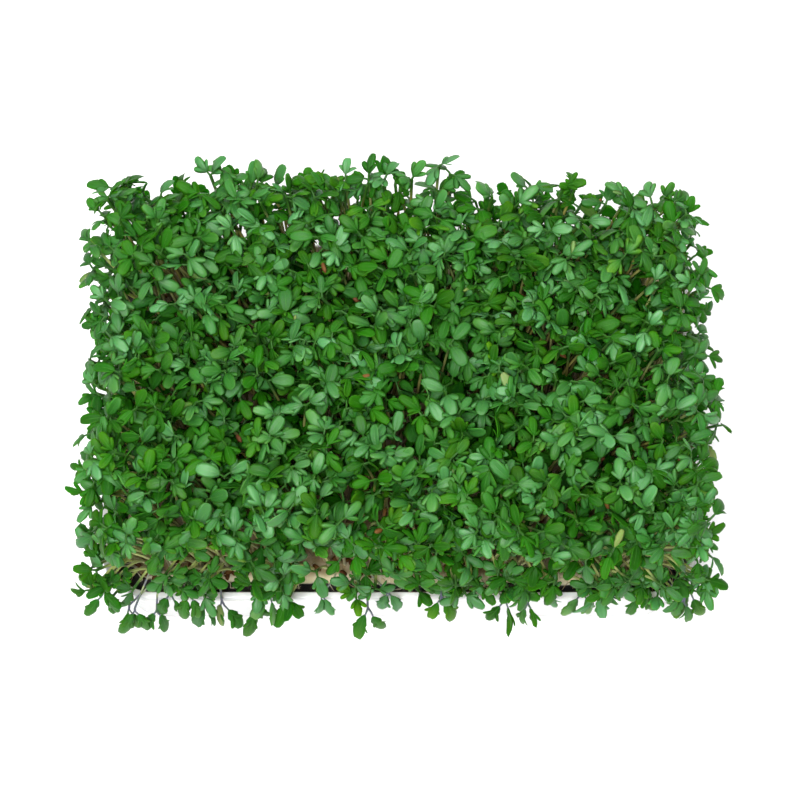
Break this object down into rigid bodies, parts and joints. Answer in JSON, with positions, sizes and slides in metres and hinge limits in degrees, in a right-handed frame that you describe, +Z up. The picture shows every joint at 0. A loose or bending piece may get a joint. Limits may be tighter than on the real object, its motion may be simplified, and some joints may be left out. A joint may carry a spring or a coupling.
{
  "type": "potted garden cress",
  "caption": "Shallow white tray of damp compost with a fibre growing mat, densely covered with garden cress seedlings whose seed leaves have three lobes.",
  "frame": {"origin": "centre of the tray's flat underside, on the surface it stands on", "axes": "+Z up, +X along the tray's long side, -Y towards the side that faces the viewer"},
  "size_m": [0.1666, 0.1183, 0.0777],
  "materials": {
    "tray": "thin glossy white plastic",
    "compost": "damp, crumbly, nearly black",
    "growing_mat": "matt cream plant fibre",
    "cress": "soft satin green leaves on pale stems"
  },
  "bodies": {
    "root": {"tray": "tray", "compost": "compost", "growing_mat": "growing_mat", "cress_tuft_r1_c1": "cress", "cress_tuft_r1_c2": "cress", "cress_tuft_r1_c3": "cress", "cress_tuft_r1_c4": "cress", "cress_tuft_r1_c5": "cress", "cress_tuft_r1_c6": "cress", "cress_tuft_r1_c7": "cress", "cress_tuft_r1_c8": "cress", "cress_tuft_r2_c1": "cress", "cress_tuft_r2_c2": "cress", "cress_tuft_r2_c3": "cress", "cress_tuft_r2_c4": "cress", "cress_tuft_r2_c5": "cress", "cress_tuft_r2_c6": "cress", "cress_tuft_r2_c7": "cress", "cress_tuft_r2_c8": "cress", "cress_tuft_r3_c1": "cress", "cress_tuft_r3_c2": "cress", "cress_tuft_r3_c3": "cress", "cress_tuft_r3_c4": "cress", "cress_tuft_r3_c5": "cress", "cress_tuft_r3_c6": "cress", "cress_tuft_r3_c7": "cress", "cress_tuft_r3_c8": "cress", "cress_tuft_r4_c1": "cress", "cress_tuft_r4_c2": "cress", "cress_tuft_r4_c3": "cress", "cress_tuft_r4_c4": "cress", "cress_tuft_r4_c5": "cress", "cress_tuft_r4_c6": "cress", "cress_tuft_r4_c7": "cress", "cress_tuft_r4_c8": "cress", "cress_tuft_r5_c1": "cress", "cress_tuft_r5_c2": "cress", "cress_tuft_r5_c3": "cress", "cress_tuft_r5_c4": "cress", "cress_tuft_r5_c5": "cress", "cress_tuft_r5_c6": "cress", "cress_tuft_r5_c7": "cress", "cress_tuft_r5_c8": "cress"}
  },
  "joints": []
}
